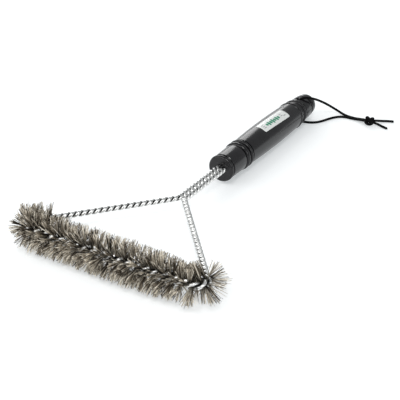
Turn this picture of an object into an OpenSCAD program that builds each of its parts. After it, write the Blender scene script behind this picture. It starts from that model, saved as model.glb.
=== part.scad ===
// Grill cleaning brush: a triangle of twisted wire with a bristle head on its front side,
// held in a turned handle that has a hanging cord through its end knob.
//
// Frame: +X along the bristle head, +Y along the handle towards its knob, +Z up.
// The origin is on the table, under the centre of the brush without its cord.
// Lengths are in millimetres, angles in degrees.
// "Tool frame" below means: y = 0 on the line of the head's core, z = 0 on the wires' plane.

/* [Overall] */
// Length from the front of the bristles to the end of the knob
overall_l = 444; // [442:1:460]
// Radius of the bristle head
bristle_r = 21; // [19:0.5:21]

/* [Wire frame] */
// Length of the triangle's front side between its sharp corners
base_l = 218; // [206:1:224]
// Distance from the front side to the point where the two arms meet
joint_y = 125; // [120:1:130]
// Diameter of one wire
wire_d = 3.5; // [3:0.1:3.5]
// Length of one full turn of the twist on the arms and legs
arm_lead = 13.2; // [13:0.2:16]
// Length of one full turn of the twist in the bristle head
core_lead = 19; // [18:0.5:22]
// Bend radius of the rope at the two front corners
corner_r = 9; // [8:0.5:10]
// Bend radius of the rope where the arms turn into the handle
joint_r = 12; // [10:1:14]
// Distance between the two legs that go into the handle
leg_gap = 6.5; // [6.5:0.1:7]
// Length of the legs inside the handle
leg_depth = 42; // [30:1:44]

/* [Bristles] */
// Reach of the bristles round the corners
corner_bristle_r = 22.4; // [20:0.2:24]
// Radius of the bristles on the arms
arm_bristle_r = 20; // [17:0.5:20]
// Length of the bristles on the right arm, from the corner bend
right_arm_bristles = 5; // [3:1:12]
// Length of the bristles on the left arm, from the corner bend
left_arm_bristles = 23; // [12:1:26]

/* [Handle] */
// Distance from the front side of the triangle to the front of the handle
handle_y = 203.5; // [200:0.5:206]
// Largest radius of the barrel
barrel_r = 17; // [16.5:0.1:17]
// Radius of the barrel at its front end
barrel_front_r = 15.5; // [15:0.1:16]
// Radius of the ring that the handle rests on
rest_ring_r = 16.9; // [16.7:0.1:17]
// Radius of the hole for the cord
cord_hole_r = 3; // [2.6:0.1:3.2]

/* [Label] */
// Length of the label
label_l = 58; // [40:1:62]
// Part of the barrel's turn that the label covers
label_angle = 49; // [30:1:60]
// Turn of the label's middle away from the top, towards +X
label_turn = 17; // [0:1:30]

/* [Cord] */
// Diameter of the hanging cord
cord_d = 3; // [2.5:0.1:3]

/* [Hidden] */

black = [0.10, 0.095, 0.10];
steel = [0.72, 0.72, 0.70];
bristle_grey = [0.42, 0.38, 0.33];
resin = [0.75, 0.68, 0.45];
paper = [0.95, 0.96, 0.94];
cord_black = [0.05, 0.05, 0.055];

// A gap that keeps neighbouring soft solids apart.
soft_gap = 0.3;

// ---- Placing the tool on the table: it rests on the bristles and on the handle's rest ring.

core_y = bristle_r - overall_l / 2;
rest_ring_u = 168.4;                    // middle of the rest ring, from the handle's front
tilt = asin((bristle_r - rest_ring_r) / (handle_y + rest_ring_u));

module in_tool_frame() {
    translate([0, core_y, bristle_r]) rotate([-tilt, 0, 0]) children();
}

// ---- The rope's line: one half runs from the middle of the front side (x = 0) to the leg's end.

leg_x = leg_gap / 2;
arm_run = base_l / 2 - leg_x;
corner_turn = 180 - atan2(joint_y, arm_run);   // heading of the arm, and turn of the corner bend
joint_turn = corner_turn - 90;                 // turn back to the handle's direction
corner_cut = corner_r * tan(corner_turn / 2);  // straight length that each bend takes away
joint_cut = joint_r * tan(joint_turn / 2);
core_half = base_l / 2 - corner_cut;
arm_l = norm([arm_run, joint_y]) - corner_cut - joint_cut;
leg_l = handle_y + leg_depth - joint_y - joint_cut;
corner_l = corner_r * corner_turn * PI / 180;
joint_l = joint_r * joint_turn * PI / 180;
head_l = core_half + corner_l;                 // half of the length with the long twist
half_l = head_l + arm_l + joint_l + leg_l;

corner_centre = [core_half, corner_r];
arm_start = corner_centre + corner_r * [sin(corner_turn), -cos(corner_turn)];
joint_centre = [leg_x + joint_r, joint_y + joint_cut];

// Place [x, y] and heading of the rope's line at the length s from the middle, for s >= 0.
function rope_half(s) =
    s < core_half ? [s, 0, 0] :
    s < head_l ? let (a = (s - core_half) / corner_l * corner_turn)
        [corner_centre.x + corner_r * sin(a), corner_centre.y - corner_r * cos(a), a] :
    s < head_l + arm_l ? let (d = s - head_l)
        [arm_start.x + d * cos(corner_turn), arm_start.y + d * sin(corner_turn), corner_turn] :
    s < half_l - leg_l ? let (a = (s - head_l - arm_l) / joint_l * joint_turn)
        [joint_centre.x - joint_r * cos(joint_turn - a),
         joint_centre.y - joint_r * sin(joint_turn - a), corner_turn - a] :
    [leg_x, joint_y + joint_cut + s - (half_l - leg_l), 90];

// The other half is its mirror image, travelled the other way.
function rope_at(s) = s >= 0 ? rope_half(s) :
    let (m = rope_half(-s)) [-m.x, m.y, -m.z];

// Turn of the first wire in the middle of the head. With it the two legs nest into each other.
wire_turn = 45;
// Turn of the twist at s. It is left-handed, so it falls as s rises.
function twist_at(s) = let (d = abs(s))
    -sign(s) * 360 * (min(d, head_l) / core_lead + max(d - head_l, 0) / arm_lead);

// Lengths along the rope where a wire gets a ring: closer together in the bends.
turn_steps = 8;
bend_step = 1.6;
function steps(from, to, step) =
    let (n = ceil((to - from) / step)) [for (i = [0:n - 1]) from + (to - from) * i / n];
half_steps = concat(
    steps(0, core_half, core_lead / turn_steps),
    steps(core_half, head_l, bend_step),
    steps(head_l, head_l + arm_l, arm_lead / turn_steps),
    steps(head_l + arm_l, half_l - leg_l, bend_step),
    steps(half_l - leg_l, half_l, arm_lead / turn_steps),
    [half_l]);
last = len(half_steps) - 1;
rope_steps = concat([for (i = [last:-1:1]) -half_steps[i]], half_steps);

// Distance of a wire's centre from the rope's line: the two wires just clear each other.
strand_offset = wire_d / 2 + 0.02;

function unit(v) = v / norm(v);

// Centre of one wire at s, with the turn of its place in the bundle.
function wire_centre(s, turn) =
    let (r = rope_at(s), a = twist_at(s) + turn)
    [r.x, r.y, 0] + strand_offset * [-sin(r.z) * cos(a), cos(r.z) * cos(a), sin(a)];

// ---- A tube through a list of points: a ring square to the line at each point.

function tangents(points) = let (n = len(points) - 1)
    [for (i = [0:n]) unit(points[min(i + 1, n)] - points[max(i - 1, 0)])];

// side_hints give the direction of each ring's first corner.
function ring(centre, tangent, side_hint, radius, sides) =
    let (e1 = unit(side_hint - (side_hint * tangent) * tangent), e2 = cross(tangent, e1))
    [for (j = [0:sides - 1]) centre + radius * (cos(360 * j / sides) * e1 + sin(360 * j / sides) * e2)];

module tube(points, side_hints, radius, sides) {
    t = tangents(points);
    n = len(points) - 1;
    corners = [for (i = [0:n]) each ring(points[i], t[i], side_hints[i], radius, sides)];
    walls = [for (i = [0:n - 1], j = [0:sides - 1])
        let (k = (j + 1) % sides, a = i * sides, b = a + sides)
        each [[a + j, b + k, a + k], [a + j, b + j, b + k]]];
    first_end = [for (j = [0:sides - 1]) j];
    last_end = [for (j = [sides - 1:-1:0]) n * sides + j];
    polyhedron(corners, concat(walls, [first_end, last_end]), convexity = 10);
}

// ---- The two wires. Each one is continuous: leg, arm, corner, head, corner, arm, leg.

module wire(turn) {
    centres = [for (s = rope_steps) wire_centre(s, turn)];
    outwards = [for (i = [0:len(rope_steps) - 1])
        let (r = rope_at(rope_steps[i])) centres[i] - [r.x, r.y, 0]];
    // A six-sided wire, with its corners on the true wire's surface.
    color(steel) in_tool_frame() tube(centres, outwards, wire_d / 2, 6);
}

module wire_1() { wire(wire_turn); }
module wire_2() { wire(wire_turn + 180); }

// ---- Bristles: plain solids of the space that the bristle ends reach, open round the rope.

rope_clear_r = strand_offset + wire_d / 2 + 0.35;

module rope_bore(length) {
    translate([0, 0, -1]) cylinder(r = rope_clear_r, h = length + 2, $fn = 48);
}

module head_bristles() {
    length = 2 * (core_half - soft_gap);
    color(bristle_grey) in_tool_frame()
        translate([-length / 2, 0, 0]) rotate([0, 90, 0]) difference() {
            cylinder(r = bristle_r, h = length, $fn = 96);
            rope_bore(length);
        }
}

// The bristles fan out round the outside of the bend.
module corner_fan() {
    centre_hole_r = 1;
    fan_half_h = bristle_r - 0.2;
    translate([corner_centre.x, corner_centre.y, 0]) rotate([0, 0, -90])
        rotate_extrude(angle = corner_turn, $fn = 96) difference() {
            intersection() {
                translate([corner_r, 0]) circle(r = corner_bristle_r, $fn = 96);
                translate([centre_hole_r, -fan_half_h]) square([2 * bristle_r, 2 * fan_half_h]);
            }
            translate([corner_r, 0]) circle(r = rope_clear_r, $fn = 48);
        }
}

module right_corner_bristles() {
    color(bristle_grey) in_tool_frame() corner_fan();
}

module left_corner_bristles() {
    color(bristle_grey) in_tool_frame() mirror([1, 0, 0]) corner_fan();
}

// A short stretch of bristles on an arm, without what the head's own bristles fill.
module arm_stub(length) {
    difference() {
        translate([arm_start.x, arm_start.y, 0]) rotate([0, 0, corner_turn])
            translate([soft_gap, 0, 0]) rotate([0, 90, 0]) difference() {
                cylinder(r = arm_bristle_r, h = length, $fn = 96);
                rope_bore(length);
            }
        rotate([0, 90, 0])
            cylinder(r = bristle_r + soft_gap, h = base_l, $fn = 96);
    }
}

module right_arm_bristles() {
    color(bristle_grey) in_tool_frame() arm_stub(right_arm_bristles);
}

module left_arm_bristles() {
    color(bristle_grey) in_tool_frame() mirror([1, 0, 0]) arm_stub(left_arm_bristles);
}

// ---- Handle: one turned body. Its lengths u run back from its front face.

handle_l = overall_l - bristle_r - handle_y;
shaft_r = 13;             // under the beads
front_bead = [0, 5, 15.1];           // beads are [front end, width, radius]
collar_u = [6.5, 32.5];   // collar behind the front bead
collar_r = [14.6, 15.2];
collar_edge_r = [0.6, 1.6];          // bevel in front, rounding behind
double_beads = [[34, 6.4, 16.4], [42.6, 4.4, 16.4]];
double_bead_shaft = [31, 50, 14.2];  // thicker shaft under them: [from, to, radius]
barrel_u = [48.5, 166];
barrel_widest_u = 113.5;
barrel_sag = barrel_r - barrel_front_r;
barrel_arc_r = (pow(barrel_widest_u - barrel_u[0], 2) + barrel_sag * barrel_sag) / (2 * barrel_sag);
rest_ring = [rest_ring_u - 2.3, 4.6, rest_ring_r];
rear_bead = [178.6, 4.2, 16];
rear_shaft = [165, 183, 14.4];
drum_u = [184.6, 199.8];  // the knob's front part, which the cord goes through
drum_r = [14.7, 14.4];
drum_edge_r = 0.8;
knob_u = 202.6;           // the knob's rear part
knob_r = [14, 13];        // at its front and where its end rounding starts
knob_round_r = 9;         // rounding of its end
cord_hole_u = 192;
cord_mouth_from = 9.5;    // distance from the axis where the cord hole starts to open
cord_mouth_r = 5.6;       // radius of its mouth at the drum's surface

// A ring with a fully rounded edge, from [front end, width, radius].
module bead(size) {
    half = size[1] / 2;
    translate([0, size[0]]) square([size[2] - half, size[1]]);
    translate([size[2] - half, size[0] + half]) circle(r = half, $fn = 48);
}

// A plain stretch of the handle, from [from, to, radius].
module shaft(size) {
    translate([0, size[0]]) square([size[2], size[1] - size[0]]);
}

// The barrel's side is a long arc. grow moves it outwards.
module barrel_area(from, to, grow = 0) {
    intersection() {
        translate([barrel_r - barrel_arc_r, barrel_widest_u])
            circle(r = barrel_arc_r + grow, $fn = 1440);
        translate([0, from]) square([2 * barrel_r, to - from]);
    }
}

module collar_area() {
    bevel = collar_edge_r[0];
    edge = collar_edge_r[1];
    polygon([
        [0, collar_u[0]], [collar_r[0] - bevel, collar_u[0]], [collar_r[0], collar_u[0] + bevel],
        [collar_r[1], collar_u[1] - edge], [collar_r[1] - edge, collar_u[1]], [0, collar_u[1]]]);
    translate([collar_r[1] - edge, collar_u[1] - edge]) circle(r = edge, $fn = 48);
}

module drum_area() {
    bevel = drum_edge_r;
    polygon([
        [0, drum_u[0]], [drum_r[0] - bevel, drum_u[0]], [drum_r[0], drum_u[0] + bevel],
        [drum_r[1], drum_u[1] - bevel], [drum_r[1] - bevel, drum_u[1]], [0, drum_u[1]]]);
}

// The knob's rear part: a slight cone with a large rounding at its end.
module knob_area() {
    round_u = handle_l - knob_round_r;
    flat_r = knob_r[1] - knob_round_r;
    polygon([[0, knob_u], [knob_r[0], knob_u], [knob_r[1], round_u], [0, round_u]]);
    intersection() {
        translate([flat_r, round_u]) circle(r = knob_round_r, $fn = 96);
        translate([0, knob_u]) square([knob_r[1], handle_l]);
    }
    translate([0, round_u - 1]) square([flat_r, knob_round_r + 1]);
}

module handle_profile() {
    shaft([front_bead[1] - 1, handle_l - knob_round_r - 1, shaft_r]);
    bead(front_bead);
    collar_area();
    shaft(double_bead_shaft);
    for (size = double_beads) bead(size);
    barrel_area(barrel_u[0], barrel_u[1]);
    shaft(rear_shaft);
    bead(rest_ring);
    bead(rear_bead);
    drum_area();
    knob_area();
}

// The solid that a profile in (radius, u) makes round the handle's axis.
module turned(angle = 360, start = 0) {
    translate([0, handle_y, 0]) rotate([-90, 0, 0]) rotate([0, 0, start])
        rotate_extrude(angle = angle, $fn = 128) children();
}

// An upright bar of two cylinders and a block between them, for the two legs side by side.
module leg_slot(radius, from, to) {
    translate([0, handle_y + from, 0]) rotate([-90, 0, 0]) {
        for (x = [-leg_x, leg_x]) translate([x, 0, 0]) cylinder(r = radius, h = to - from, $fn = 48);
        translate([-leg_x, -radius, 0]) cube([leg_gap, 2 * radius, to - from]);
    }
}

socket_r = strand_offset + wire_d / 2 + 0.65;
socket_depth = leg_depth + 1.5;
bond_front = 6;           // the bond starts behind the socket's mouth

// A cone that opens the cord hole at the drum's surface.
module cord_mouth() {
    past = 0.2;           // how far it reaches past the surface
    translate([0, 0, cord_mouth_from]) cylinder(
        r1 = cord_hole_r, r2 = cord_mouth_r, h = drum_r[0] - cord_mouth_from + past, $fn = 48);
}

module handle() {
    color(black) in_tool_frame() difference() {
        turned() handle_profile();
        leg_slot(socket_r, -1, socket_depth);
        translate([0, handle_y + cord_hole_u, 0]) {
            cylinder(r = cord_hole_r, h = 3 * drum_r[0], center = true, $fn = 48);
            cord_mouth();
            mirror([0, 0, 1]) cord_mouth();
        }
    }
}

// Resin that fixes the legs: it fills the socket round the two ropes.
module socket_bond() {
    wall_gap = 0.05;
    color(resin) in_tool_frame() difference() {
        leg_slot(socket_r - wall_gap, bond_front, leg_depth);
        for (x = [-leg_x, leg_x])
            translate([x, handle_y + bond_front - 1, 0]) rotate([-90, 0, 0])
                cylinder(r = strand_offset + wire_d / 2 + wall_gap, h = leg_depth, $fn = 48);
    }
}

module label() {
    label_t = [0.03, 0.25];   // from and to, above the barrel's surface
    from = barrel_widest_u - label_l / 2;
    color(paper) in_tool_frame()
        turned(label_angle, label_turn - label_angle / 2 - 90) difference() {
            barrel_area(from, from + label_l, label_t[1]);
            barrel_area(from - 1, from + label_l + 1, label_t[0]);
        }
}

// ---- Hanging cord: one cord with both ends through the knob's hole, tied in a knot.
// Its two runs meet in the middle of the hole. The points are in the part's own frame.

cord_lift = 1.5;          // the cord's centre when it lies on the table

upper_route = [
    [0, 194.5, 16.5], [0, 194.5, 22], [0, 194.5, 26], [0.9, 195, 29.2], [3.2, 196.2, 31.4],
    [6.4, 198.2, 32.2], [9.4, 201, 31.6], [12.2, 205.2, 30], [15.2, 211.4, 27],
    [18.6, 219.2, 22.4], [22.4, 227.6, 16.8], [27, 235.4, 10.6], [32, 240.6, 5.6],
    [37.4, 242, 2.6], [43, 240.8, cord_lift], [50, 238.8, cord_lift], [57, 238.2, cord_lift],
    [63.6, 237.6, 2.2], [69, 235.6, 3.6], [72.8, 234, 4.4]];
lower_route = [
    [0, 194.5, 16.5], [0, 194.5, 11], [0, 194.5, 7.2], [0.8, 194.7, 4.3], [2.9, 195, 2.2],
    [6, 195.4, cord_lift], [11.6, 196.4, cord_lift], [17.4, 199, cord_lift],
    [22.4, 203.6, cord_lift], [26.4, 210.4, cord_lift], [29.6, 218, cord_lift],
    [33.8, 226.2, cord_lift], [39.4, 232.6, cord_lift], [46, 235.2, cord_lift],
    [53, 235.2, cord_lift], [60, 234.8, 2], [66.4, 233, 3.4], [71.4, 230.8, 4.4]];
tail_1_route = [
    [81.4, 234.2, 4.6], [83.6, 237.8, 4.4], [86, 242, 3.2], [89, 246.4, 2],
    [93.4, 250, cord_lift], [98, 252, cord_lift], [102.4, 253.2, cord_lift]];
tail_2_route = [
    [85.6, 230.8, 4.6], [89.4, 231.8, 3.4], [93.6, 232.2, 2], [98, 231.2, cord_lift],
    [102.6, 229.6, cord_lift]];

knot_outline = [
    [74.6, 236.4], [79, 236.2], [83.6, 232.6], [85.4, 232.2], [85.8, 229.2], [82.4, 224.6],
    [75.8, 224.2], [71, 228.8]];
knot_h = 9.5;

// A direction that no cord runs along, so each ring's first corner can point away from the cord.
across = [0.3, -0.2, 1];

module cord(route) {
    sideways = [for (t = tangents(route)) cross(t, across)];
    color(cord_black) tube(route, sideways, cord_d / 2, 8);
}

module cord_upper() { cord(upper_route); }
module cord_lower() { cord(lower_route); }
module cord_tail_1() { cord(tail_1_route); }
module cord_tail_2() { cord(tail_2_route); }

module cord_knot() {
    color(cord_black) linear_extrude(knot_h) polygon(knot_outline);
}

handle();
socket_bond();
label();
wire_1();
wire_2();
head_bristles();
left_corner_bristles();
right_corner_bristles();
left_arm_bristles();
right_arm_bristles();
cord_upper();
cord_lower();
cord_knot();
cord_tail_1();
cord_tail_2();
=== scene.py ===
"""Looks of the grill cleaning brush: twisted wires, wire bristles, turned handle, label and hanging cord.

Lengths in the tables below are in millimetres. The cord's points are in the part's own frame. All other
places are in the tool frame: there y is 0 on the line of the bristle head's core, and z is 0 on the wires'
plane. The meshes are made in metres.
"""

import math

import bpy
import numpy as np
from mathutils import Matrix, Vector


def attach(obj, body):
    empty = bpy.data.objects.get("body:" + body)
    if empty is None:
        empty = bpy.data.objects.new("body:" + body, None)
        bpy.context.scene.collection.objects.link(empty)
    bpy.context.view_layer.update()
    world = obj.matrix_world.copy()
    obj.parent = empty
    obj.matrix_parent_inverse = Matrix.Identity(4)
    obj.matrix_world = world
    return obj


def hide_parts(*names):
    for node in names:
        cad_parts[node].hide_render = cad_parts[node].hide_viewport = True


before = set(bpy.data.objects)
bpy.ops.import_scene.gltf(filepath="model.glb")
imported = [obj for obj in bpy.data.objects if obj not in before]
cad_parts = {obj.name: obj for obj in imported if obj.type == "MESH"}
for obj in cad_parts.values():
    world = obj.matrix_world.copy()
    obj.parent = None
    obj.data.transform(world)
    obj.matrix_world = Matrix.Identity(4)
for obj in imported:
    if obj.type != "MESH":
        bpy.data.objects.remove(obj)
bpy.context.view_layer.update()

MM = 0.001
SEED = 41

# ---------------------------------------------------------------- sizes, as in the CAD part

OVERALL_L = 444
BRISTLE_R = 21
BASE_L = 218
JOINT_Y = 125
WIRE_D = 3.5
ARM_LEAD = 13.2
CORE_LEAD = 19
WIRE_TURN = 45
CORNER_R = 9
JOINT_R = 12
LEG_GAP = 6.5
LEG_DEPTH = 42
ARM_BRISTLE_R = 20
RIGHT_ARM_BRISTLES = 5
LEFT_ARM_BRISTLES = 23
HANDLE_Y = 203.5
BARREL_R = 17
BARREL_FRONT_R = 15.5
REST_RING_R = 16.9
REST_RING_U = 168.4
CORD_HOLE_R = 3
CORD_MOUTH_FROM = 9.5
CORD_MOUTH_R = 5.6
CORD_HOLE_U = 192
CORD_D = 3

CORE_Y = BRISTLE_R - OVERALL_L / 2
HANDLE_L = OVERALL_L - BRISTLE_R - HANDLE_Y
TILT = math.asin((BRISTLE_R - REST_RING_R) / (HANDLE_Y + REST_RING_U))


def from_tool(points):
    """Points of the tool frame, in mm, as points of the part's frame, in metres."""
    p = np.atleast_2d(np.asarray(points, float))
    c, s = math.cos(TILT), math.sin(TILT)
    y = CORE_Y + p[:, 1] * c + p[:, 2] * s
    z = BRISTLE_R - p[:, 1] * s + p[:, 2] * c
    return np.stack([p[:, 0], y, z], axis=1) * MM


# ---------------------------------------------------------------- camera

CAMERA_AZIMUTH = 31.2
CAMERA_ELEVATION = 29.2
CAMERA_DISTANCE = 0.908
CAMERA_TARGET = Vector((0.0134, -0.0616, 0.0155))
CAMERA_LENS = 80.9


def make_camera():
    """The camera looks at the brush from the front right and from above."""
    a, e = math.radians(CAMERA_AZIMUTH), math.radians(CAMERA_ELEVATION)
    back = Vector((math.sin(a) * math.cos(e), -math.cos(a) * math.cos(e), math.sin(e)))
    data = bpy.data.cameras.new("camera")
    data.lens = CAMERA_LENS
    data.sensor_width = 36
    data.clip_start = 0.01
    camera = bpy.data.objects.new("camera", data)
    camera.location = CAMERA_TARGET + back * CAMERA_DISTANCE
    camera.rotation_mode = "QUATERNION"
    camera.rotation_quaternion = (-back).to_track_quat("-Z", "Y")
    bpy.context.scene.collection.objects.link(camera)
    bpy.context.scene.camera = camera


# ---------------------------------------------------------------- meshes


def make_piece(name, vertices, faces, material, slot, replaced=()):
    """A mesh piece of the object, in metres, riding on the one body."""
    mesh = bpy.data.meshes.new(name)
    mesh.from_pydata([tuple(v) for v in vertices], [], [tuple(f) for f in faces])
    mesh.validate()
    mesh.update()
    mesh.polygons.foreach_set("use_smooth", [True] * len(mesh.polygons))
    mesh.materials.append(material)
    piece = bpy.data.objects.new(name, mesh)
    bpy.context.scene.collection.objects.link(piece)
    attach(piece, "root")
    if replaced:
        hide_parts(*replaced)
    return piece


def add_attribute(piece, name, values):
    """One number for each vertex, for the material to read."""
    attribute = piece.data.attributes.new(name, "FLOAT", "POINT")
    attribute.data.foreach_set("value", np.asarray(values, np.float32))


def unit(v):
    """The vectors at length 1."""
    return v / np.maximum(np.linalg.norm(v, axis=-1, keepdims=True), 1e-12)


def tangents_of(points):
    """The direction of a line at each of its points."""
    return unit(np.gradient(points, axis=0))


def carried_sides(points):
    """One direction square to the line at each point, carried along it without twist."""
    t = tangents_of(points)
    side = np.cross(t[0], (0.3, -0.2, 1.0))
    sides = []
    for tangent in t:
        side = unit(side - (side @ tangent) * tangent)
        sides.append(side)
    return np.array(sides)


def tube_faces(rings, sides):
    """Faces of a closed tube: four-sided walls between the rings, and one face at each end."""
    faces = []
    for i in range(rings - 1):
        here, there = i * sides, (i + 1) * sides
        for j in range(sides):
            k = (j + 1) % sides
            faces.append([here + j, here + k, there + k, there + j])
    last = (rings - 1) * sides
    return [*faces, list(range(sides))[::-1], list(range(last, last + sides))]


def ring_angles(sides):
    """The angles of the corners of a ring."""
    return 2 * math.pi * np.arange(sides) / sides


def sweep(points, radii, sides, side_hints=None):
    """Vertices and faces of a tube: a ring square to the line at each point, and closed ends.

    radii is one number, or an array with one number for each corner of each ring. side_hints says where
    each ring's first corner points."""
    points = np.asarray(points, float)
    t = tangents_of(points)
    e1 = carried_sides(points) if side_hints is None else np.asarray(side_hints, float)
    e1 = unit(e1 - (e1 * t).sum(1, keepdims=True) * t)
    e2 = np.cross(t, e1)
    a = ring_angles(sides)[None, :, None]
    radii = np.broadcast_to(radii, (len(points), sides))
    around = np.cos(a) * e1[:, None, :] + np.sin(a) * e2[:, None, :]
    vertices = (points[:, None, :] + radii[:, :, None] * around).reshape(-1, 3)
    return vertices, tube_faces(len(points), sides)


def curved_through(points, step):
    """A smooth line (a Catmull-Rom spline) through given points, as points about a step apart."""
    p = np.asarray(points, float)
    p = np.vstack([2 * p[0] - p[1], p, 2 * p[-1] - p[-2]])
    line = []
    for a, b, c, d in zip(p[:-3], p[1:-2], p[2:-1], p[3:]):
        first, second, third = c - a, 2 * a - 5 * b + 4 * c - d, 3 * b - a - 3 * c + d
        count = max(2, int(round(np.linalg.norm(c - b) / (step / 4))))
        for t in np.arange(count)[:, None] / count:
            line.append(0.5 * (2 * b + first * t + second * t**2 + third * t**3))
    line.append(p[-2])
    line = np.vstack(line)
    along = lengths_along(line)
    at = np.linspace(0, along[-1], max(2, int(round(along[-1] / step)) + 1))
    return np.stack([np.interp(at, along, line[:, k]) for k in range(3)], axis=1)


def lengths_along(points):
    """The length of a line from its start to each of its points."""
    steps = np.linalg.norm(np.diff(points, axis=0), axis=1)
    return np.concatenate([[0], np.cumsum(steps)])


# ---------------------------------------------------------------- materials


class Nodes:
    """A short way to build one material's node tree."""

    def __init__(self, name):
        self.material = bpy.data.materials.new(name)
        self.material.use_nodes = True
        self.tree = self.material.node_tree
        self.shader = self.tree.nodes["Principled BSDF"]

    def set(self, **values):
        """Uniform values of the shader, by the sockets' names."""
        for key, value in values.items():
            self.shader.inputs[key.replace("_", " ")].default_value = value
        return self

    def node(self, kind, inputs=None, **settings):
        """A new node. Each input is a value, or the output to link to it."""
        node = self.tree.nodes.new(kind)
        for key, value in settings.items():
            setattr(node, key, value)
        for key, value in (inputs or {}).items():
            if isinstance(value, bpy.types.NodeSocket):
                self.tree.links.new(value, node.inputs[key])
            else:
                node.inputs[key].default_value = value
        return node

    def link(self, output, name):
        self.tree.links.new(output, self.shader.inputs[name])

    def place(self):
        return self.node("ShaderNodeTexCoord").outputs["Object"]

    def scaled(self, vector, scale):
        return self.node("ShaderNodeMapping", {"Vector": vector, "Scale": scale}).outputs["Vector"]

    def noise(self, vector, scale, detail=3.0, roughness=0.5):
        values = {"Vector": vector, "Scale": scale, "Detail": detail, "Roughness": roughness}
        return self.node("ShaderNodeTexNoise", values).outputs["Fac"]

    def ramp(self, value, *stops):
        """A colour ramp: stops are (position, grey or colour)."""
        node = self.node("ShaderNodeValToRGB", {"Fac": value})
        elements = node.color_ramp.elements
        while len(elements) < len(stops):
            elements.new(0.5)
        for element, (at, colour) in zip(elements, stops):
            element.position = at
            element.color = (*([colour] * 3 if np.isscalar(colour) else colour), 1)
        return node.outputs["Color"]

    def math(self, operation, a, b):
        return self.node("ShaderNodeMath", {0: a, 1: b}, operation=operation).outputs[0]

    def mixed(self, factor, a, b, blend="MIX"):
        """Two colours mixed or multiplied. Inputs 0, 6 and 7 are the factor and the two colours."""
        values = {}
        for index, value in ((0, factor), (6, a), (7, b)):
            is_colour = isinstance(value, tuple)
            values[index] = (*value, 1) if is_colour else value
        return self.node("ShaderNodeMix", values, data_type="RGBA", blend_type=blend).outputs[2]

    def bump(self, height, distance, strength=1.0, normal=None):
        values = {"Height": height, "Distance": distance, "Strength": strength}
        if normal is not None:
            values["Normal"] = normal
        return self.node("ShaderNodeBump", values).outputs["Normal"]


def handle_material():
    """Black moulded plastic, glossy, with faint ripple and fine scuffs."""
    m = Nodes("handle_black").set(Specular_IOR_Level=0.42)
    place = m.place()
    scuffs = m.noise(m.scaled(place, (1500, 180, 1500)), 1.0, 4.0, 0.65)
    patches = m.noise(place, 70.0, 3.0)
    base = m.ramp(patches, (0.35, (0.0045, 0.004, 0.005)), (0.7, (0.0075, 0.0068, 0.0082)))
    m.link(m.mixed(m.ramp(scuffs, (0.70, 0.0), (0.86, 0.25)), base, (0.035, 0.034, 0.036)), "Base Color")
    rough = m.math("ADD", m.math("MULTIPLY", patches, 0.10), m.math("MULTIPLY", scuffs, 0.10))
    m.link(m.math("ADD", rough, 0.12), "Roughness")
    ripple = m.noise(place, 260.0, 2.0)
    m.link(m.bump(scuffs, 0.00003, 0.3, m.bump(ripple, 0.0002, 0.08)), "Normal")
    return m.material


def wire_material():
    """Bright drawn steel with fine marks, a few dull spots, and painted shade in the grooves between the
    wires.
    """
    m = Nodes("drawn_steel").set(Metallic=1.0)
    place = m.place()
    marks = m.noise(place, 2600.0, 3.0, 0.7)
    dull = m.noise(place, 240.0, 4.0, 0.6)
    steel = m.ramp(dull, (0.3, (0.68, 0.68, 0.67)), (0.62, (0.90, 0.90, 0.89)))
    crest = m.node("ShaderNodeAttribute", attribute_name="crest").outputs["Fac"]
    # Painted shade: each wire is darker towards the side where the two wires touch.
    painted_groove_shade = m.ramp(crest, (0.1, 0.05), (0.45, 0.25), (0.75, 1.0))
    m.link(m.mixed(1.0, steel, painted_groove_shade, "MULTIPLY"), "Base Color")
    uneven = m.math("ADD", m.math("MULTIPLY", marks, 0.16), m.math("MULTIPLY", dull, 0.2))
    m.link(m.math("ADD", uneven, 0.1), "Roughness")
    m.link(m.bump(marks, 0.00004, 0.5), "Normal")
    return m.material


def bristle_material():
    """Fine steel wire: painted shade makes it darker towards the core, and each wire has its own tone."""
    m = Nodes("bristle_wire").set(Metallic=0.6, Roughness=0.45)
    tone = m.node("ShaderNodeAttribute", attribute_name="tone").outputs["Fac"]
    along = m.node("ShaderNodeAttribute", attribute_name="along").outputs["Fac"]
    dark, middle, bright = (0.03, 0.023, 0.016), (0.33, 0.275, 0.205), (1.0, 0.92, 0.78)
    own = m.ramp(tone, (0.22, dark), (0.5, middle), (0.85, bright))
    # Painted shade: each wire is darker towards its root at the core.
    shade = m.ramp(along, (0.0, 0.25), (0.45, 0.85), (1.0, 1.0))
    m.link(m.mixed(1.0, own, shade, "MULTIPLY"), "Base Color")
    return m.material


def cord_material():
    """Black braided cord: dull thread, lighter where the braid stands up."""
    m = Nodes("cord_black").set(Specular_IOR_Level=0.06)
    place = m.place()
    fibre = m.noise(place, 3800.0, 4.0, 0.7)
    patch = m.noise(place, 160.0, 2.0)
    m.link(m.ramp(fibre, (0.3, (0.0015, 0.0015, 0.0016)), (0.75, (0.006, 0.006, 0.0065))), "Base Color")
    m.link(m.math("ADD", m.math("MULTIPLY", patch, 0.25), 0.5), "Roughness")
    m.link(m.bump(fibre, 0.0001, 0.6), "Normal")
    return m.material


def label_material(name, colour, darker):
    """Printed glossy paper: a faint tone of the paper, and a slightly uneven gloss."""
    m = Nodes(name).set(Specular_IOR_Level=0.5)
    place = m.place()
    fibre = m.noise(place, 900.0, 4.0, 0.6)
    m.link(m.ramp(fibre, (0.3, darker), (0.7, colour)), "Base Color")
    m.link(m.math("ADD", m.math("MULTIPLY", fibre, 0.2), 0.22), "Roughness")
    m.link(m.bump(fibre, 0.00003, 0.3), "Normal")
    return m.material


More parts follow.
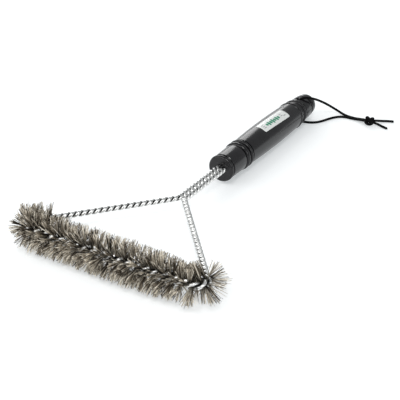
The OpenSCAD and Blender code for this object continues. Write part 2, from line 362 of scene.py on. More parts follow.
def resin_material():
    """Cloudy amber resin, for the bond inside the socket."""
    m = Nodes("socket_resin").set(Specular_IOR_Level=0.5)
    place = m.place()
    cloud = m.noise(place, 400.0, 4.0)
    m.link(m.ramp(cloud, (0.3, (0.30, 0.24, 0.13)), (0.7, (0.46, 0.39, 0.24))), "Base Color")
    m.link(m.math("ADD", m.math("MULTIPLY", cloud, 0.3), 0.25), "Roughness")
    m.link(m.bump(cloud, 0.0003, 0.5), "Normal")
    return m.material


# ---------------------------------------------------------------- hanging cord

CORD_LIFT = 1.5
UPPER_ROUTE = [
    (0, 194.5, 16.5), (0, 194.5, 22), (0, 194.5, 26), (0.9, 195, 29.2), (3.2, 196.2, 31.4),
    (6.4, 198.2, 32.2), (9.4, 201, 31.6), (12.2, 205.2, 30), (15.2, 211.4, 27),
    (18.6, 219.2, 22.4), (22.4, 227.6, 16.8), (27, 235.4, 10.6), (32, 240.6, 5.6),
    (37.4, 242, 2.6), (43, 240.8, CORD_LIFT), (50, 238.8, CORD_LIFT), (57, 238.2, CORD_LIFT),
    (63.6, 237.6, 2.2), (69, 235.6, 3.6), (72.8, 234, 4.4),
]  # fmt: skip
LOWER_ROUTE = [
    (0, 194.5, 16.5), (0, 194.5, 11), (0, 194.5, 7.2), (0.8, 194.7, 4.3), (2.9, 195, 2.2),
    (6, 195.4, CORD_LIFT), (11.6, 196.4, CORD_LIFT), (17.4, 199, CORD_LIFT),
    (22.4, 203.6, CORD_LIFT), (26.4, 210.4, CORD_LIFT), (29.6, 218, CORD_LIFT),
    (33.8, 226.2, CORD_LIFT), (39.4, 232.6, CORD_LIFT), (46, 235.2, CORD_LIFT),
    (53, 235.2, CORD_LIFT), (60, 234.8, 2), (66.4, 233, 3.4), (71.4, 230.8, 4.4),
]  # fmt: skip
TAIL_1_ROUTE = [
    (81.4, 234.2, 4.6), (83.6, 237.8, 4.4), (86, 242, 3.2), (89, 246.4, 2),
    (93.4, 250, CORD_LIFT), (98, 252, CORD_LIFT), (102.4, 253.2, CORD_LIFT),
]  # fmt: skip
TAIL_2_ROUTE = [
    (85.6, 230.8, 4.6), (89.4, 231.8, 3.4), (93.6, 232.2, 2), (98, 231.2, CORD_LIFT),
    (102.6, 229.6, CORD_LIFT),
]  # fmt: skip
KNOT_INSIDE_1 = [(77, 233.4, 5)]
KNOT_INSIDE_2 = [(76, 230.4, 5), (80.8, 230.4, 5)]
KNOT_CENTRE = (78.8, 230.9, 5.0)
KNOT_HEADING = 5

BRAID_STRANDS = 8       # ridges round the cord, in each direction
BRAID_PITCH = 9         # length of one turn of a braid strand
BRAID_DEPTH = 0.12
BRAID_SIDES = 24
BRAID_STEP = 0.4
MELTED_L = 1.2          # the cut ends are melted to a small rounded stub of this length
MELTED_SHARE = 0.72     # its radius at the tip, as a share of the cord's radius

KNOT_RING_R = 3.1       # from the knot's middle line to the middle of its turns
KNOT_TURN_R = 1.9       # how far the turns swing in and out
KNOT_STRETCH = 2.1      # how much longer than round the turns are, along the cords
KNOT_FLATNESS = 0.86
KNOT_LIFT = 1.0
KNOT_SWELL = 1.1        # the knot's cord is drawn this much thicker


def braided(points, diameter):
    """A braided cord's tube: two families of ridges that cross over each other."""
    along = lengths_along(points)[:, None]
    round_it = ring_angles(BRAID_SIDES)[None, :]
    turn = 2 * math.pi * along / BRAID_PITCH
    one = np.cos((round_it + turn) * BRAID_STRANDS / 2)
    other = np.cos((round_it - turn) * BRAID_STRANDS / 2)
    radii = diameter / 2 - BRAID_DEPTH * (1 - np.maximum(np.abs(one), np.abs(other)))
    from_end = np.minimum(along, along[-1] - along)
    radii = radii * (MELTED_SHARE + (1 - MELTED_SHARE) * np.sqrt(np.clip(from_end / MELTED_L, 0, 1)))
    return sweep(points * MM, radii * MM, BRAID_SIDES)


def knot_turns():
    """The knot's visible turns: a trefoil wound round the two cords, as one closed loop of cord."""
    t = np.linspace(0, 2 * math.pi, 220)
    out = KNOT_RING_R + KNOT_TURN_R * np.cos(3 * t)
    along = KNOT_TURN_R * np.sin(3 * t) * KNOT_STRETCH
    across = out * np.cos(2 * t)
    up = out * np.sin(2 * t) * KNOT_FLATNESS
    h = math.radians(KNOT_HEADING)
    x = along * math.cos(h) - across * math.sin(h)
    y = along * math.sin(h) + across * math.cos(h)
    return np.stack([x, y, up], axis=1) + np.array(KNOT_CENTRE) + (0, 0, KNOT_LIFT)


def make_cords():
    """The two runs of the hanging cord, each with its tail, and the knot that the upper run carries."""
    material = cord_material()
    turns = braided(knot_turns(), CORD_D * KNOT_SWELL)
    knot = make_piece("cord_knot_turns", *turns, material, "cord", ["cord_knot"])
    first = curved_through(UPPER_ROUTE + KNOT_INSIDE_1 + TAIL_1_ROUTE, BRAID_STEP)
    second = curved_through(LOWER_ROUTE + KNOT_INSIDE_2 + TAIL_2_ROUTE, BRAID_STEP)
    upper_nodes = ["cord_upper", "cord_tail_1"]
    lower_nodes = ["cord_lower", "cord_tail_2"]
    upper = make_piece("hanging_cord_upper", *braided(first, CORD_D), material, "cord", upper_nodes)
    lower = make_piece("hanging_cord_lower", *braided(second, CORD_D), material, "cord", lower_nodes)


# ---------------------------------------------------------------- the rope's line

LEG_X = LEG_GAP / 2
ARM_RUN = BASE_L / 2 - LEG_X
CORNER_TURN = math.pi - math.atan2(JOINT_Y, ARM_RUN)
JOINT_TURN = CORNER_TURN - math.pi / 2
CORNER_CUT = CORNER_R * math.tan(CORNER_TURN / 2)
JOINT_CUT = JOINT_R * math.tan(JOINT_TURN / 2)
CORE_HALF = BASE_L / 2 - CORNER_CUT
ARM_L = math.hypot(ARM_RUN, JOINT_Y) - CORNER_CUT - JOINT_CUT
LEG_L = HANDLE_Y + LEG_DEPTH - JOINT_Y - JOINT_CUT
CORNER_L = CORNER_R * CORNER_TURN
JOINT_L = JOINT_R * JOINT_TURN
HEAD_L = CORE_HALF + CORNER_L
HALF_L = HEAD_L + ARM_L + JOINT_L + LEG_L
CORNER_CENTRE = np.array([CORE_HALF, CORNER_R])
ARM_START = CORNER_CENTRE + CORNER_R * np.array([math.sin(CORNER_TURN), -math.cos(CORNER_TURN)])
JOINT_CENTRE = np.array([LEG_X + JOINT_R, JOINT_Y + JOINT_CUT])


def rope_at(s):
    """Places (x, y) and headings of the rope's line at the lengths s from its middle, in the tool frame."""
    s = np.asarray(s, float)
    d = np.abs(s)
    bend = (d - CORE_HALF) / CORNER_R
    arm = d - HEAD_L
    back = JOINT_TURN - (d - HEAD_L - ARM_L) / JOINT_R
    leg = d - (HALF_L - LEG_L)
    parts = [d < CORE_HALF, d < HEAD_L, d < HEAD_L + ARM_L, d < HALF_L - LEG_L]
    xs = [
        d,
        CORNER_CENTRE[0] + CORNER_R * np.sin(bend),
        ARM_START[0] + arm * math.cos(CORNER_TURN),
        JOINT_CENTRE[0] - JOINT_R * np.cos(back),
    ]
    ys = [
        np.zeros_like(d),
        CORNER_CENTRE[1] - CORNER_R * np.cos(bend),
        ARM_START[1] + arm * math.sin(CORNER_TURN),
        JOINT_CENTRE[1] - JOINT_R * np.sin(back),
    ]
    headings = [np.zeros_like(d), bend, np.full_like(d, CORNER_TURN), math.pi / 2 + back]
    x = np.select(parts, xs, LEG_X)
    y = np.select(parts, ys, JOINT_Y + JOINT_CUT + leg)
    heading = np.select(parts, headings, math.pi / 2)
    sign = np.where(s < 0, -1.0, 1.0)
    return np.stack([sign * x, y], axis=-1), sign * heading


def twist_at(s):
    """Turn of the twist, in radians: left-handed, so it falls as s rises."""
    d = np.abs(s)
    turns = np.minimum(d, HEAD_L) / CORE_LEAD + np.maximum(d - HEAD_L, 0) / ARM_LEAD
    return -np.sign(s) * 2 * math.pi * turns


def outward(heading, angle):
    """The direction square to the rope's line at an angle from its left side, towards +Z."""
    left = np.stack([-np.sin(heading), np.cos(heading), np.zeros_like(heading)], axis=-1)
    up = np.array([0.0, 0.0, 1.0])
    return np.cos(angle)[..., None] * left + np.sin(angle)[..., None] * up


STRAND_GAP = 0.02       # from the rope's line to the skin of each wire
STRAND_OFFSET = WIRE_D / 2 + STRAND_GAP
STRAND_STEP = 0.6
STRAND_SIDES = 16


def make_wires():
    """The two round wires in place of the CAD's six-sided ones."""
    s = np.linspace(-HALF_L, HALF_L, int(2 * HALF_L / STRAND_STEP))
    place, heading = rope_at(s)
    centre = np.column_stack([place, np.zeros(len(s))])
    material = wire_material()
    for number, turn in enumerate((WIRE_TURN, WIRE_TURN + 180)):
        side = outward(heading, twist_at(s) + math.radians(turn))
        points = from_tool(centre + STRAND_OFFSET * side)
        # The sides as directions of the part's frame.
        hints = from_tool(centre + side) - from_tool(centre)
        tube = sweep(points, WIRE_D / 2 * MM, STRAND_SIDES, hints)
        piece = make_piece(f"steel_wire_{number + 1}", *tube, material, "wire", [f"wire_{number + 1}"])
        # 1 on the rope's outside, 0 on the side where the two wires touch.
        crest = 0.5 + 0.5 * np.cos(ring_angles(STRAND_SIDES))
        add_attribute(piece, "crest", np.tile(crest, len(s)))


# ---------------------------------------------------------------- bristles

BRISTLE_WIRE_R = 0.25
BRISTLE_FROM = 1.5      # the wires start this far from the rope's line
BRISTLE_RINGS = 4
BRISTLE_CORNERS = 3
BRISTLE_TAPER = (1.0, 1.0, 0.95, 0.8)
TIP_MARGIN = 0.6        # the wires stay this far inside the bristle bank's top and bottom
REACH_MARGIN = 0.3      # and their tips this far inside its radius
FLAT_MARGIN = 0.4
WORN_FROM = 0.3         # downward share of a wire's direction from which it is shortened
WORN_RANGE = 0.5
ANY_DIRECTION = (0.31, 0.47, 0.83)
LOWEST_Z = 0.1          # the lowest point of a wire over the table

DENSITY = 4.0           # tufts per mm
WIRES_PER_TUFT = 8
LEAF_SPREAD = 14        # degrees: spread of the tufts round the rope, within one leaf
TUFT_TILT = 4           # degrees: lean of the tufts along the rope
TUFT_SHORTER = 0.07     # the most that a whole tuft is shortened, as a share of its reach
STRAY_SHARE = 0.2       # of the wires lean further out of their tuft
STRAY_SPREAD = 13.0     # degrees
WIRE_SPREAD = 3.2       # degrees
ROOT_SPREAD = 0.35      # mm along the rope
SHORT_SHARE = 0.15      # of the wires are shorter, down to SHORTEST
SHORTEST = 0.8
WIRE_BEND = 0.055       # sideways bend of a wire's tip, as a share of its length
TONE = 0.52             # middle tone of the tufts, and how much tufts and single wires differ from it
TUFT_TONE_SPREAD = 0.18
WIRE_TONE_SPREAD = 0.32
LEAST_FADE = 0.12       # share of the tufts left where a bank fades out
INSIDE_FROM = 0.35      # cosine from which a wire counts as pointing into a bend
END_FROM = 60           # mm from the middle: from here to the right end the head's wires get shorter
END_SHORTER = 0.22

# Where no wire points, as (direction, cosine of the half angle).
PARTED = [((0.25, -0.66, 0.72), 0.95)]                                 # the head shows its rope
BARE_RIGHT = [((0.3, -0.6, 0.75), 0.66), ((0.0, -0.43, -0.9), 0.95)]   # round the loop at the right corner
BARE_LEFT = [((0.3, -0.6, 0.75), 0.8)]

ARM_REACH = 0.88 * ARM_BRISTLE_R
ARM_INSIDE_SHARE = 0.8
# For each side: sign of s, length up the arm, fade there, reach round the corner, density there as a share,
# share of the reach inside the bend, share that the lowest wires lack, and bare directions.
BENDS = {
    "right": (1, RIGHT_ARM_BRISTLES, 3, 22.4, 0.8, 0.98, 0.2, BARE_RIGHT),
    "left": (-1, LEFT_ARM_BRISTLES, 16, 22.2, 1.2, 0.75, 0.0, BARE_LEFT),
}


def tufts(rng, bank):
    """Random tufts of one bank: s, angle round the rope, tilt along it, and share of the reach."""
    start, end, per_mm, fade = bank
    count = int(abs(end - start) * per_mm)
    s = start + (end - start) * (np.arange(count) + rng.random(count)) / count
    if fade:
        s = s[rng.random(count) < np.clip((np.abs(end - s) + 1.0) / fade, LEAST_FADE, 1)]
    leaf = math.radians(WIRE_TURN + 90) + math.pi * rng.integers(0, 2, len(s))
    angle = twist_at(s) + leaf + rng.normal(0, math.radians(LEAF_SPREAD), len(s))
    tilt = rng.normal(0, math.radians(TUFT_TILT), len(s))
    share = 1 - TUFT_SHORTER * rng.random(len(s)) ** 2
    return s, angle, tilt, share


def worn_end(s):
    """The share of their reach that the head's wires keep towards its right end."""
    towards_end = np.clip((s - END_FROM) / (CORE_HALF - END_FROM), 0, 1)
    return 1 - END_SHORTER * towards_end * (s < CORE_HALF)


def bristle_wires(name, node, material, bank, reach, seed, inside_share=1.0, bare=()):
    """One bank of fine wires, held between the two rope wires: two leaves that follow the twist.

    bank is (from, to, tufts per mm, end fade in mm). reach(angle) is how far the tips stand from the
    rope's line. inside_share is the share of it that wires pointing into a bend keep. bare is a list of
    (direction, cosine): no wire points within that angle of the direction."""
    rng = np.random.default_rng(seed)
    # Each tuft becomes several wires that fan out a little.
    s, angle, tilt, share = (np.repeat(a, WIRES_PER_TUFT) for a in tufts(rng, bank))
    total = len(s)
    stray = rng.random(total) < STRAY_SHARE
    spread = np.where(stray, STRAY_SPREAD, WIRE_SPREAD)
    angle = angle + np.radians(rng.normal(0, 1, total) * spread)
    tilt = tilt + np.radians(rng.normal(0, 1, total) * spread)
    s = s + rng.normal(0, ROOT_SPREAD, total)
    place, heading = rope_at(s)
    side = outward(heading, angle)
    forward = np.column_stack([np.cos(heading), np.sin(heading), np.zeros(total)])
    direction = unit(side * np.cos(tilt)[:, None] + forward * np.sin(tilt)[:, None])
    short = rng.random(total) < SHORT_SHARE
    length = (reach(angle) * share - BRISTLE_FROM) * np.where(short, rng.uniform(SHORTEST, 1.0, total), 1.0)
    towards_inside = np.cos(angle) * np.sign(s) > INSIDE_FROM
    length = length * np.where(towards_inside, inside_share, 1.0)
    length = length * worn_end(s)
    bend = rng.normal(0, WIRE_BEND, (total, 3)) * length[:, None]
    tone = np.repeat(rng.normal(TONE, TUFT_TONE_SPREAD, total // WIRES_PER_TUFT), WIRES_PER_TUFT)
    tone = tone + rng.normal(0, WIRE_TONE_SPREAD, total)
    base = np.column_stack([place, np.zeros(total)]) + BRISTLE_FROM * side
    kept = np.ones(total, bool)
    for towards, cosine in bare:
        kept &= direction @ unit(np.array(towards)) < cosine
    vertices = wire_vertices(base[kept], direction[kept], length[kept], bend[kept])
    piece = make_piece(name, vertices, wire_faces(len(vertices)), material, "bristles", node)
    share_of_length = np.repeat(np.linspace(0, 1, BRISTLE_RINGS), BRISTLE_CORNERS)
    add_attribute(piece, "tone", np.repeat(np.clip(tone[kept], 0, 1), len(share_of_length)))
    add_attribute(piece, "along", np.tile(share_of_length, kept.sum()))


def wire_vertices(base, direction, length, bend):
    """The corners of many three-sided wires, in metres, kept between the table and the head's top."""
    t = np.linspace(0, 1, BRISTLE_RINGS)
    centre = base[:, None, :] + direction[:, None, :] * (length[:, None] * t)[:, :, None]
    centre = centre + bend[:, None, :] * (t**2)[None, :, None]
    height = np.abs(centre[:, :, 2])
    limit = BRISTLE_R - TIP_MARGIN
    centre[:, :, 2] *= np.where(height > limit, limit / np.maximum(height, limit), 1)
    e1 = unit(np.cross(direction, ANY_DIRECTION))
    e2 = np.cross(direction, e1)
    a = ring_angles(BRISTLE_CORNERS)[None, :, None]
    ring = np.cos(a) * e1[:, None, :] + np.sin(a) * e2[:, None, :]
    radii = np.array(BRISTLE_TAPER) * BRISTLE_WIRE_R
    vertices = centre[:, :, None, :] + ring[:, None, :, :] * radii[None, :, None, None]
    world = from_tool(vertices.reshape(-1, 3))
    world[:, 2] = np.maximum(world[:, 2], LOWEST_Z * MM)
    return world


def wire_faces(vertex_count):
    """The faces of all wires: first the walls, then the lower ends, then the tips."""
    per_wire = BRISTLE_RINGS * BRISTLE_CORNERS
    first = np.arange(vertex_count // per_wire) * per_wire
    *walls, low_end, tip = tube_faces(BRISTLE_RINGS, BRISTLE_CORNERS)
    walls = (np.array(walls)[None] + first[:, None, None]).reshape(-1, 4)
    low_ends = np.array(low_end) + first[:, None]
    tips = np.array(tip) + first[:, None]
    return [*walls.tolist(), *low_ends.tolist(), *tips.tolist()]


def round_reach(radius):
    """Tips on a circle round the rope."""
    return lambda angle: np.full_like(angle, radius - REACH_MARGIN)


def corner_reach(radius, worn):
    """The fan round a corner is wider than it is high. worn is the share that its lowest wires lack."""

    def reach(angle):
        upright = np.sin(angle)
        low = np.clip(-upright - WORN_FROM, 0, WORN_RANGE) / WORN_RANGE
        flat = (BRISTLE_R - FLAT_MARGIN) / np.maximum(np.abs(upright), 0.1)
        return np.minimum(radius - REACH_MARGIN, flat) * (1 - worn * low)

    return reach


def make_bristles():
    """The head's bank, and for each side the bank round its corner and the one up its arm."""
    material = bristle_material()
    bank = (-CORE_HALF, CORE_HALF, DENSITY, 0)
    reach = round_reach(BRISTLE_R)
    bristle_wires("head_bristle_wires", ["head_bristles"], material, bank, reach, SEED, bare=PARTED)
    for number, (side, values) in enumerate(BENDS.items()):
        sign, arm_length, fade, radius, density_share, inside, worn, bare = values
        seed = SEED + 10 + number
        node = [f"{side}_corner_bristles"]
        bank = (sign * CORE_HALF, sign * HEAD_L, DENSITY * density_share, 0)
        reach = corner_reach(radius, worn)
        name = f"{side}_corner_bristle_wires"
        bristle_wires(name, node, material, bank, reach, seed, inside_share=inside, bare=bare)
        node = [f"{side}_arm_bristles"]
        bank = (sign * HEAD_L, sign * (HEAD_L + arm_length), DENSITY, fade)
        reach = round_reach(ARM_REACH)
        name = f"{side}_arm_bristle_wires"
        bristle_wires(name, node, material, bank, reach, seed + 10, inside_share=ARM_INSIDE_SHARE)


# ---------------------------------------------------------------- handle

# Places u are along the handle from its front face.
SHAFT_R = 13
FRONT_FACE_R = 11.8
FRONT_BEAD_R = 15.1
BEAD_R = 16.4
GROOVE_R = 14.2
COLLAR_U = (6.5, 32.5)
COLLAR_R = (14.6, 15.2)
BARREL_U = (48.5, 166)
BARREL_WIDEST_U = 113.5
DRUM_U = (184.6, 199.8)
DRUM_R = (14.7, 14.4)
KNOB_U = 202.6
KNOB_R = (14, 13)
KNOB_ROUND_R = 9
COLLAR_EDGE = 1.6       # radius of the rounded edges
DRUM_EDGE = 0.9
HANDLE_SEGMENTS = 144
SHARP_FROM = 38         # degrees: edges over this angle stay sharp
SOCKET_PLAY = 0.65
BARREL_SAG = BARREL_R - BARREL_FRONT_R
BARREL_ARC_R = ((BARREL_WIDEST_U - BARREL_U[0]) ** 2 + BARREL_SAG**2) / (2 * BARREL_SAG)


def barrel_radius(u):
    """The barrel's outline is one wide arc."""
    from_widest = np.asarray(u, float) - BARREL_WIDEST_U
    return BARREL_R - BARREL_ARC_R + np.sqrt(BARREL_ARC_R**2 - from_widest**2)


def arc(centre_u, centre_r, radius, start, end, count):
    """Points (u, r) on an arc; the angle runs from the axis's direction, in degrees."""
    a = np.radians(np.linspace(start, end, count))
    return [(centre_u + radius * math.cos(x), centre_r + radius * math.sin(x)) for x in a]


def bead(u, width, radius):
    """A ring with a fully rounded edge."""
    half = width / 2
    return arc(u + half, radius - half, half, 180, 0, 15)


def handle_outline():
    """The turned outline as (u, radius), from the middle of the front face to the end of the knob."""
    outline = [(0, 0), (0, FRONT_FACE_R)]
    outline += bead(0, 5, FRONT_BEAD_R)
    outline += [(5.2, SHAFT_R + 0.3), (5.8, SHAFT_R), (6.3, SHAFT_R)]
    # The collar, with a slight taper towards the front.
    outline += [(COLLAR_U[0], SHAFT_R + 0.2), (COLLAR_U[0], COLLAR_R[0] - 0.6)]
    outline += [(COLLAR_U[0] + 0.6, COLLAR_R[0]), (12, 14.72), (20, 14.92)]
    outline += arc(COLLAR_U[1] - COLLAR_EDGE, COLLAR_R[1] - COLLAR_EDGE, COLLAR_EDGE, 90, 0, 8)
    # Two beads with grooves round them.
    outline += [(COLLAR_U[1] + 0.1, GROOVE_R + 0.1), (33.2, GROOVE_R)]
    outline += bead(34, 6.4, BEAD_R)
    outline += [(40.5, GROOVE_R + 0.1), (41.4, GROOVE_R), (42.4, GROOVE_R + 0.1)]
    outline += bead(42.6, 4.4, BEAD_R)
    outline += [(47.1, GROOVE_R + 0.1), (47.8, GROOVE_R), (BARREL_U[0] - 0.1, GROOVE_R + 0.1)]
    # The barrel, the rest ring and the second ring.
    outline += [(float(u), float(barrel_radius(u))) for u in np.linspace(*BARREL_U, 40)]
    outline += bead(REST_RING_U - 2.3, 4.6, REST_RING_R)
    outline += [(171, 14.4), (174.5, 13.9), (178.4, 14.4)]
    outline += bead(178.6, 4.2, 16)
    outline += [(182.95, 14.2), (183.3, 13.3), (183.7, SHAFT_R), (DRUM_U[0] - 0.2, SHAFT_R)]
    # The end knob: a drum, a groove and a rounded end.
    outline += arc(DRUM_U[0] + DRUM_EDGE, DRUM_R[0] - DRUM_EDGE, DRUM_EDGE, 180, 90, 6)
    outline += arc(DRUM_U[1] - DRUM_EDGE, DRUM_R[1] - DRUM_EDGE, DRUM_EDGE, 90, 0, 6)
    outline += [(DRUM_U[1] + 0.2, SHAFT_R), (KNOB_U - 0.2, SHAFT_R)]
    outline += arc(KNOB_U + DRUM_EDGE, KNOB_R[0] - DRUM_EDGE, DRUM_EDGE, 180, 90, 6)
    end = HANDLE_L - KNOB_ROUND_R
    outline += arc(end, KNOB_R[1] - KNOB_ROUND_R, KNOB_ROUND_R, 90, 0, 18)
    return outline + [(HANDLE_L, 0)]


def on_handle(u, radius, angle):
    """Points of the tool frame on the handle. The angle is from the top towards +X, in radians."""
    u, radius, angle = np.broadcast_arrays(*(np.asarray(v, float) for v in (u, radius, angle)))
    return np.stack([radius * np.sin(angle), HANDLE_Y + u, radius * np.cos(angle)], axis=-1).reshape(-1, 3)


def turned_body(outline, segments):
    """Vertices and faces of a closed turned body; the outline starts and ends on the axis."""
    inner = outline[1:-1]
    us = np.array([p[0] for p in inner])[:, None]
    rs = np.array([p[1] for p in inner])[:, None]
    a = ring_angles(segments)[None, :]
    vertices = [on_handle(us, rs, a), on_handle(outline[0][0], 0, 0), on_handle(outline[-1][0], 0, 0)]
    front, rear = len(inner) * segments, len(inner) * segments + 1
    faces = []
    for i in range(len(inner) - 1):
        here, there = i * segments, (i + 1) * segments
        for j in range(segments):
            k = (j + 1) % segments
            faces.append([here + j, there + j, there + k, here + k])
    last = (len(inner) - 1) * segments
    for j in range(segments):
        k = (j + 1) % segments
        faces.append([front, j, k])
        faces.append([rear, last + k, last + j])
    return np.concatenate(vertices), faces


def cutter(vertices, faces):
    """A helper shape that is cut away from the handle and then removed."""
    mesh = bpy.data.meshes.new("cutter")
    mesh.from_pydata([tuple(v) for v in vertices], [], faces)
    shape = bpy.data.objects.new("cutter", mesh)
    bpy.context.scene.collection.objects.link(shape)
    return shape


def slot_cutter():
    """The oval socket that takes the two legs."""
    radius = STRAND_OFFSET + WIRE_D / 2 + SOCKET_PLAY
    a = np.linspace(-math.pi / 2, math.pi / 2, 16)
    right = np.column_stack([LEG_X + radius * np.cos(a), radius * np.sin(a)])
    left = np.column_stack([-LEG_X - radius * np.cos(a), -radius * np.sin(a)])
    ring = np.vstack([right, left])
    ends = []
    for u in (-1, LEG_DEPTH + 1.5):
        ys = np.full(len(ring), HANDLE_Y + u)
        ends.append(np.column_stack([ring[:, 0], ys, ring[:, 1]]))
    return cutter(from_tool(np.vstack(ends)), tube_faces(2, len(ring)))


def hole_cutter():
    """The cord hole through the knob, with opened and rounded mouths."""
    sides = 32
    outer = np.array([CORD_MOUTH_FROM, 10.8, 12, 13, 13.8, 14.6, 16])
    widening = ((outer - CORD_MOUTH_FROM) / 5.0) ** 1.3
    opened = CORD_HOLE_R + (CORD_MOUTH_R - CORD_HOLE_R) * widening
    heights = [*(-outer[::-1]), *outer]
    radii = [*opened[::-1], *opened]
    a = ring_angles(sides)
    circle = np.column_stack([np.cos(a), np.sin(a), np.zeros(sides)])
    rings = [(0, HANDLE_Y + CORD_HOLE_U, z) + r * circle for z, r in zip(heights, radii)]
    return cutter(from_tool(np.concatenate(rings)), tube_faces(len(heights), sides))


def make_handle():
    """The turned body with the socket and the cord hole cut out of it."""
    vertices, faces = turned_body(handle_outline(), HANDLE_SEGMENTS)
    material = handle_material()
    handle = make_piece("turned_handle", from_tool(vertices), faces, material, "handle", ["handle"])
    for shape in (slot_cutter(), hole_cutter()):
        cut = handle.modifiers.new("cut", "BOOLEAN")
        cut.operation = "DIFFERENCE"
        cut.solver = "EXACT"
        cut.object = shape
        graph = bpy.context.evaluated_depsgraph_get()
        result = bpy.data.meshes.new_from_object(handle.evaluated_get(graph))
        handle.modifiers.remove(cut)
        old = handle.data
        handle.data = result
        bpy.data.meshes.remove(old)
        bpy.data.objects.remove(shape)
    handle.data.polygons.foreach_set("use_smooth", [True] * len(handle.data.polygons))
    handle.data.set_sharp_from_angle(angle=math.radians(SHARP_FROM))


# ---------------------------------------------------------------- label

LABEL_L = 58
LABEL_ANGLE = 49
LABEL_TURN = 17
LABEL_SKEW = 3.5      # degrees that each end is turned, as a sticker put on by hand
LABEL_CORNER = 1.6
LABEL_LIFT = 0.16
LABEL_THICK = 0.12
PRINT_LIFT = LABEL_LIFT + 0.02
# The generic mark: green ovals as (u, half width across the label), and grey dashes as (u, v).
LEAVES = ((-16, 2.0), (-11.6, 3.4), (-7.2, 2.5), (-2.8, 3.8), (1.6, 2.4), (6, 3.4), (10.4, 2.2))
LEAF_V = 0.4
LEAF_HALF_U = 1.9
DASHES = ((-23, -2.2), (-23, 0.2), (-23, 2.6), (17, -1.8), (17, 1.0), (22, 2.4))
DASH_HALF = (2.6, 0.55)


def barrel_patch(name, rows, lift, material, replaced=()):
    """A thin patch on the barrel. rows are (v, u from, u to): v is across the label, and u is along it
    from its middle."""
    columns = 36
    grid = []
    for v, start, end in rows:
        u = np.linspace(start, end, columns)
        angle = math.radians(LABEL_TURN) + v / BARREL_R + math.radians(LABEL_SKEW) * u / (LABEL_L / 2)
        along = BARREL_WIDEST_U + u
        grid.append(on_handle(along, barrel_radius(along) + lift, angle))
    faces = []
    for i in range(len(rows) - 1):
        here, there = i * columns, (i + 1) * columns
        for j in range(columns - 1):
            faces.append([here + j, here + j + 1, there + j + 1, there + j])
    return make_piece(name, from_tool(np.concatenate(grid)), faces, material, "label", replaced)


def oval_rows(u, v, half_u, half_v, count=14, power=2.0):
    """Rows of a rounded shape: an ellipse, or a squarer shape with a higher power."""
    rows = []
    for t in np.linspace(-0.999, 0.999, count):
        wide = half_u * (1 - abs(t) ** power) ** (1 / power)
        rows.append((v + half_v * t, u - wide, u + wide))
    return rows


def sticker_rows():
    """Rows of the sticker: a rectangle with rounded corners."""
    half_l = LABEL_L / 2
    half_w = math.radians(LABEL_ANGLE / 2) * BARREL_R
    corner = np.radians(np.linspace(0, 90, 7))
    edges = [-half_w + LABEL_CORNER * (1 - math.cos(math.pi / 2 - a)) for a in corner]
    middle = np.linspace(-half_w + LABEL_CORNER, half_w - LABEL_CORNER, 15)
    rows = []
    for v in sorted({*edges, *middle, *[-e for e in edges]}):
        over = max(0.0, abs(v) - (half_w - LABEL_CORNER))
        cut = LABEL_CORNER - math.sqrt(max(0.0, LABEL_CORNER**2 - over**2))
        rows.append((v, -half_l + cut, half_l - cut))
    return rows


def make_label():
    """The sticker, and its generic print."""
    paper = label_material("label_white", (0.86, 0.88, 0.86), (0.78, 0.80, 0.78))
    label = barrel_patch("label_sticker", sticker_rows(), LABEL_LIFT, paper, ["label"])
    thick = label.modifiers.new("thickness", "SOLIDIFY")
    thick.thickness = LABEL_THICK * MM
    thick.offset = 1.0
    green = label_material("label_green", (0.03, 0.30, 0.17), (0.02, 0.24, 0.13))
    grey = label_material("label_grey", (0.42, 0.44, 0.44), (0.34, 0.36, 0.36))
    for number, (u, half_v) in enumerate(LEAVES):
        rows = oval_rows(u, LEAF_V, LEAF_HALF_U, half_v)
        barrel_patch(f"label_leaf_{number + 1}", rows, PRINT_LIFT, green)
    for number, (u, v) in enumerate(DASHES):
        rows = oval_rows(u, v, *DASH_HALF, count=6, power=4.0)
        barrel_patch(f"label_line_{number + 1}", rows, PRINT_LIFT, grey)


# ---------------------------------------------------------------- table, light, colours


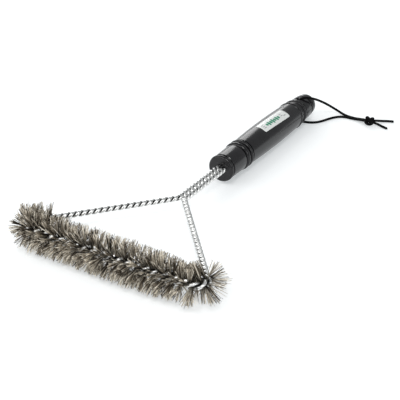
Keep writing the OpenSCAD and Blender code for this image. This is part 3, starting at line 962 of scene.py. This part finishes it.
def make_stage():
    """A white light table: it glows a little, so the shadows on it stay pale."""
    floor_mesh = bpy.data.meshes.new("floor")
    far = 4.0
    corners = [(-far, -far, 0), (far, -far, 0), (far, far, 0), (-far, far, 0)]
    floor_mesh.from_pydata(corners, [], [(0, 1, 2, 3)])
    floor = bpy.data.objects.new("floor", floor_mesh)
    m = Nodes("table_white")
    m.set(Base_Color=(0.8, 0.8, 0.8, 1), Roughness=0.7, Specular_IOR_Level=0.2)
    m.set(Emission_Color=(0.955, 1.0, 1.02, 1), Emission_Strength=0.37)
    floor_mesh.materials.append(m.material)
    bpy.context.scene.collection.objects.link(floor)


def make_light(name, direction, distance, size, radiance):
    """A soft box that faces the middle of the brush. Its power follows from its size and radiance."""
    data = bpy.data.lights.new(name, "AREA")
    data.shape = "RECTANGLE"
    data.size, data.size_y = size
    data.energy = radiance * math.pi * size[0] * size[1]
    light = bpy.data.objects.new(name, data)
    direction = Vector(direction).normalized()
    light.location = direction * distance
    light.rotation_mode = "QUATERNION"
    light.rotation_quaternion = direction.to_track_quat("Z", "Y")
    bpy.context.scene.collection.objects.link(light)


def make_lights():
    """Soft boxes behind, in front and at the right, and a pale surrounding."""
    make_light("back_left", (-0.60, 0.66, 0.36), 1.7, (1.1, 0.8), 3.0)
    make_light("back_key", (-0.30, 0.68, 0.62), 2.0, (0.30, 0.30), 9.0)
    make_light("front_left", (-0.50, -0.72, 0.50), 1.6, (1.7, 1.2), 1.8)
    make_light("front_top", (0.29, -0.53, 0.79), 1.5, (0.35, 0.35), 13.0)
    make_light("right_fill", (0.85, -0.35, 0.40), 1.6, (0.7, 0.6), 2.5)
    world = bpy.data.worlds.new("studio")
    world.use_nodes = True
    world.node_tree.nodes["Background"].inputs["Color"].default_value = (0.96, 0.99, 1.0, 1)
    world.node_tree.nodes["Background"].inputs["Strength"].default_value = 0.45
    bpy.context.scene.world = world
    bpy.context.scene.view_settings.view_transform = "Standard"


def colour_bond():
    """The bond inside the socket stays as it is in the CAD, with a material of its own."""
    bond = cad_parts["socket_bond"]
    bond.data.materials.clear()
    bond.data.materials.append(resin_material())


# ---------------------------------------------------------------- everything

make_camera()
make_cords()
make_wires()
make_bristles()
make_handle()
make_label()
colour_bond()
make_stage()
make_lights()
